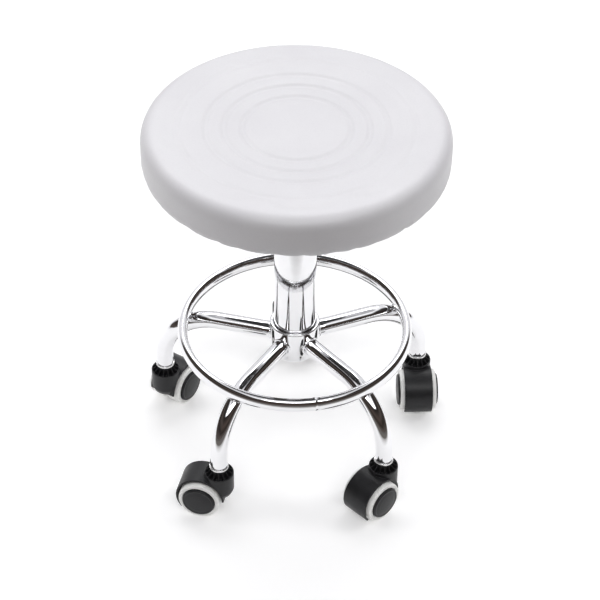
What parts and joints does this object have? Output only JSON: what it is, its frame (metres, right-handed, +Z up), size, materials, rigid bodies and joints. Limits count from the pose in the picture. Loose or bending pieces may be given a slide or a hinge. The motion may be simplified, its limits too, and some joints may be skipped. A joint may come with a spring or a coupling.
{
  "type": "rolling stool",
  "caption": "Height-adjustable rolling stool: round padded seat on a gas lift, chromed legs with a foot ring, and hooded twin-wheel casters.",
  "frame": {"origin": "the point of the floor under the column's axis", "axes": "+Z up along the column; +Y towards the first leg, which is the back one; -Y is the front; +X is the side of the release lever at rest"},
  "size_m": [0.3617, 0.3634, 0.46],
  "materials": {
    "chrome": "polished",
    "bright_steel": "satin",
    "zinc_steel": "satin",
    "black_paint": "satin",
    "white_nylon": "satin",
    "plywood": "matte",
    "foam": "matte",
    "white_leather": "satin",
    "grip_plastic": "satin",
    "white_tyre": "satin",
    "black_nylon": "satin"
  },
  "bodies": {
    "base": {"hub_sleeve": "chrome", "foot_ring": "chrome", "leg_1": "chrome", "leg_2": "chrome", "leg_3": "chrome", "leg_4": "chrome", "leg_5": "chrome", "caster_socket_1": "bright_steel", "caster_socket_2": "bright_steel", "caster_socket_3": "bright_steel", "caster_socket_4": "bright_steel", "caster_socket_5": "bright_steel", "column_tube": "chrome", "guide_sleeve": "white_nylon", "thrust_bearing": "zinc_steel", "base_clip": "zinc_steel"},
    "rod": {"piston_rod": "zinc_steel"},
    "seat": {"gas_cylinder": "chrome", "mount_plate": "black_paint", "seat_board": "plywood", "seat_foam": "foam", "seat_cover": "white_leather"},
    "lever": {"lever_arm": "zinc_steel", "lever_grip": "grip_plastic"},
    "pin": {"release_pin": "zinc_steel"},
    "caster_1": {"caster_1_hood": "black_nylon", "caster_1_stem": "zinc_steel", "caster_1_axle": "zinc_steel"},
    "wheel_1_left": {"caster_1_left_wheel": "black_nylon", "caster_1_left_tyre": "white_tyre"},
    "wheel_1_right": {"caster_1_right_wheel": "black_nylon", "caster_1_right_tyre": "white_tyre"},
    "caster_2": {"caster_2_hood": "black_nylon", "caster_2_stem": "zinc_steel", "caster_2_axle": "zinc_steel"},
    "wheel_2_left": {"caster_2_left_wheel": "black_nylon", "caster_2_left_tyre": "white_tyre"},
    "wheel_2_right": {"caster_2_right_wheel": "black_nylon", "caster_2_right_tyre": "white_tyre"},
    "caster_3": {"caster_3_hood": "black_nylon", "caster_3_stem": "zinc_steel", "caster_3_axle": "zinc_steel"},
    "wheel_3_left": {"caster_3_left_wheel": "black_nylon", "caster_3_left_tyre": "white_tyre"},
    "wheel_3_right": {"caster_3_right_wheel": "black_nylon", "caster_3_right_tyre": "white_tyre"},
    "caster_4": {"caster_4_hood": "black_nylon", "caster_4_stem": "zinc_steel", "caster_4_axle": "zinc_steel"},
    "wheel_4_left": {"caster_4_left_wheel": "black_nylon", "caster_4_left_tyre": "white_tyre"},
    "wheel_4_right": {"caster_4_right_wheel": "black_nylon", "caster_4_right_tyre": "white_tyre"},
    "caster_5": {"caster_5_hood": "black_nylon", "caster_5_stem": "zinc_steel", "caster_5_axle": "zinc_steel"},
    "wheel_5_left": {"caster_5_left_wheel": "black_nylon", "caster_5_left_tyre": "white_tyre"},
    "wheel_5_right": {"caster_5_right_wheel": "black_nylon", "caster_5_right_tyre": "white_tyre"}
  },
  "joints": [
    {"name": "seat_swivel", "type": "hinge", "parent": "base", "child": "rod", "pos_m": [0, 0, 0.14], "axis": [0, 0, 1], "continuous": true},
    {"name": "seat_lift", "type": "slide", "parent": "rod", "child": "seat", "axis": [0, 0, 1], "range_m": [0, 0.12]},
    {"name": "lever_pull", "type": "hinge", "parent": "seat", "child": "lever", "pos_m": [0.024, 0, 0.397], "axis": [0, -1, 0], "range_deg": [0, 7], "stiffness_Nm_per_rad": 0.5, "springref_deg": -11.46},
    {"name": "pin_press", "type": "slide", "parent": "seat", "child": "pin", "axis": [0, 0, -1], "range_m": [0, 0.0033]},
    {"name": "caster_1_swivel", "type": "hinge", "parent": "base", "child": "caster_1", "pos_m": [0, 0.166, 0.07], "axis": [0, 0, 1], "continuous": true},
    {"name": "wheel_1_left_spin", "type": "hinge", "parent": "caster_1", "child": "wheel_1_left", "pos_m": [0.00939, 0.14834, 0.025], "axis": [0.8829, 0.4695, 0], "continuous": true},
    {"name": "wheel_1_right_spin", "type": "hinge", "parent": "caster_1", "child": "wheel_1_right", "pos_m": [0.00939, 0.14834, 0.025], "axis": [0.8829, 0.4695, 0], "continuous": true},
    {"name": "caster_2_swivel", "type": "hinge", "parent": "base", "child": "caster_2", "pos_m": [-0.15787, 0.0513, 0.07], "axis": [0, 0, 1], "continuous": true},
    {"name": "wheel_2_left_spin", "type": "hinge", "parent": "caster_2", "child": "wheel_2_left", "pos_m": [-0.14584, 0.06727, 0.025], "axis": [-0.7986, 0.6018, 0], "continuous": true},
    {"name": "wheel_2_right_spin", "type": "hinge", "parent": "caster_2", "child": "wheel_2_right", "pos_m": [-0.14584, 0.06727, 0.025], "axis": [-0.7986, 0.6018, 0], "continuous": true},
    {"name": "caster_3_swivel", "type": "hinge", "parent": "base", "child": "caster_3", "pos_m": [-0.09757, -0.1343, 0.07], "axis": [0, 0, 1], "continuous": true},
    {"name": "wheel_3_left_spin", "type": "hinge", "parent": "caster_3", "child": "wheel_3_left", "pos_m": [-0.1167, -0.12845, 0.025], "axis": [-0.2924, -0.9563, 0], "continuous": true},
    {"name": "wheel_3_right_spin", "type": "hinge", "parent": "caster_3", "child": "wheel_3_right", "pos_m": [-0.1167, -0.12845, 0.025], "axis": [-0.2924, -0.9563, 0], "continuous": true},
    {"name": "caster_4_swivel", "type": "hinge", "parent": "base", "child": "caster_4", "pos_m": [0.09757, -0.1343, 0.07], "axis": [0, 0, 1], "continuous": true},
    {"name": "wheel_4_left_spin", "type": "hinge", "parent": "caster_4", "child": "wheel_4_left", "pos_m": [0.08248, -0.14742, 0.025], "axis": [0.6561, -0.7547, 0], "continuous": true},
    {"name": "wheel_4_right_spin", "type": "hinge", "parent": "caster_4", "child": "wheel_4_right", "pos_m": [0.08248, -0.14742, 0.025], "axis": [0.6561, -0.7547, 0], "continuous": true},
    {"name": "caster_5_swivel", "type": "hinge", "parent": "base", "child": "caster_5", "pos_m": [0.15787, 0.0513, 0.07], "axis": [0, 0, 1], "continuous": true},
    {"name": "wheel_5_left_spin", "type": "hinge", "parent": "caster_5", "child": "wheel_5_left", "pos_m": [0.15753, 0.0313, 0.025], "axis": [0.9998, -0.0175, 0], "continuous": true},
    {"name": "wheel_5_right_spin", "type": "hinge", "parent": "caster_5", "child": "wheel_5_right", "pos_m": [0.15753, 0.0313, 0.025], "axis": [0.9998, -0.0175, 0], "continuous": true}
  ],
  "couplings": [
    {"joint": "pin_press", "follows": "lever_pull", "m_per_rad": 0.026}
  ]
}
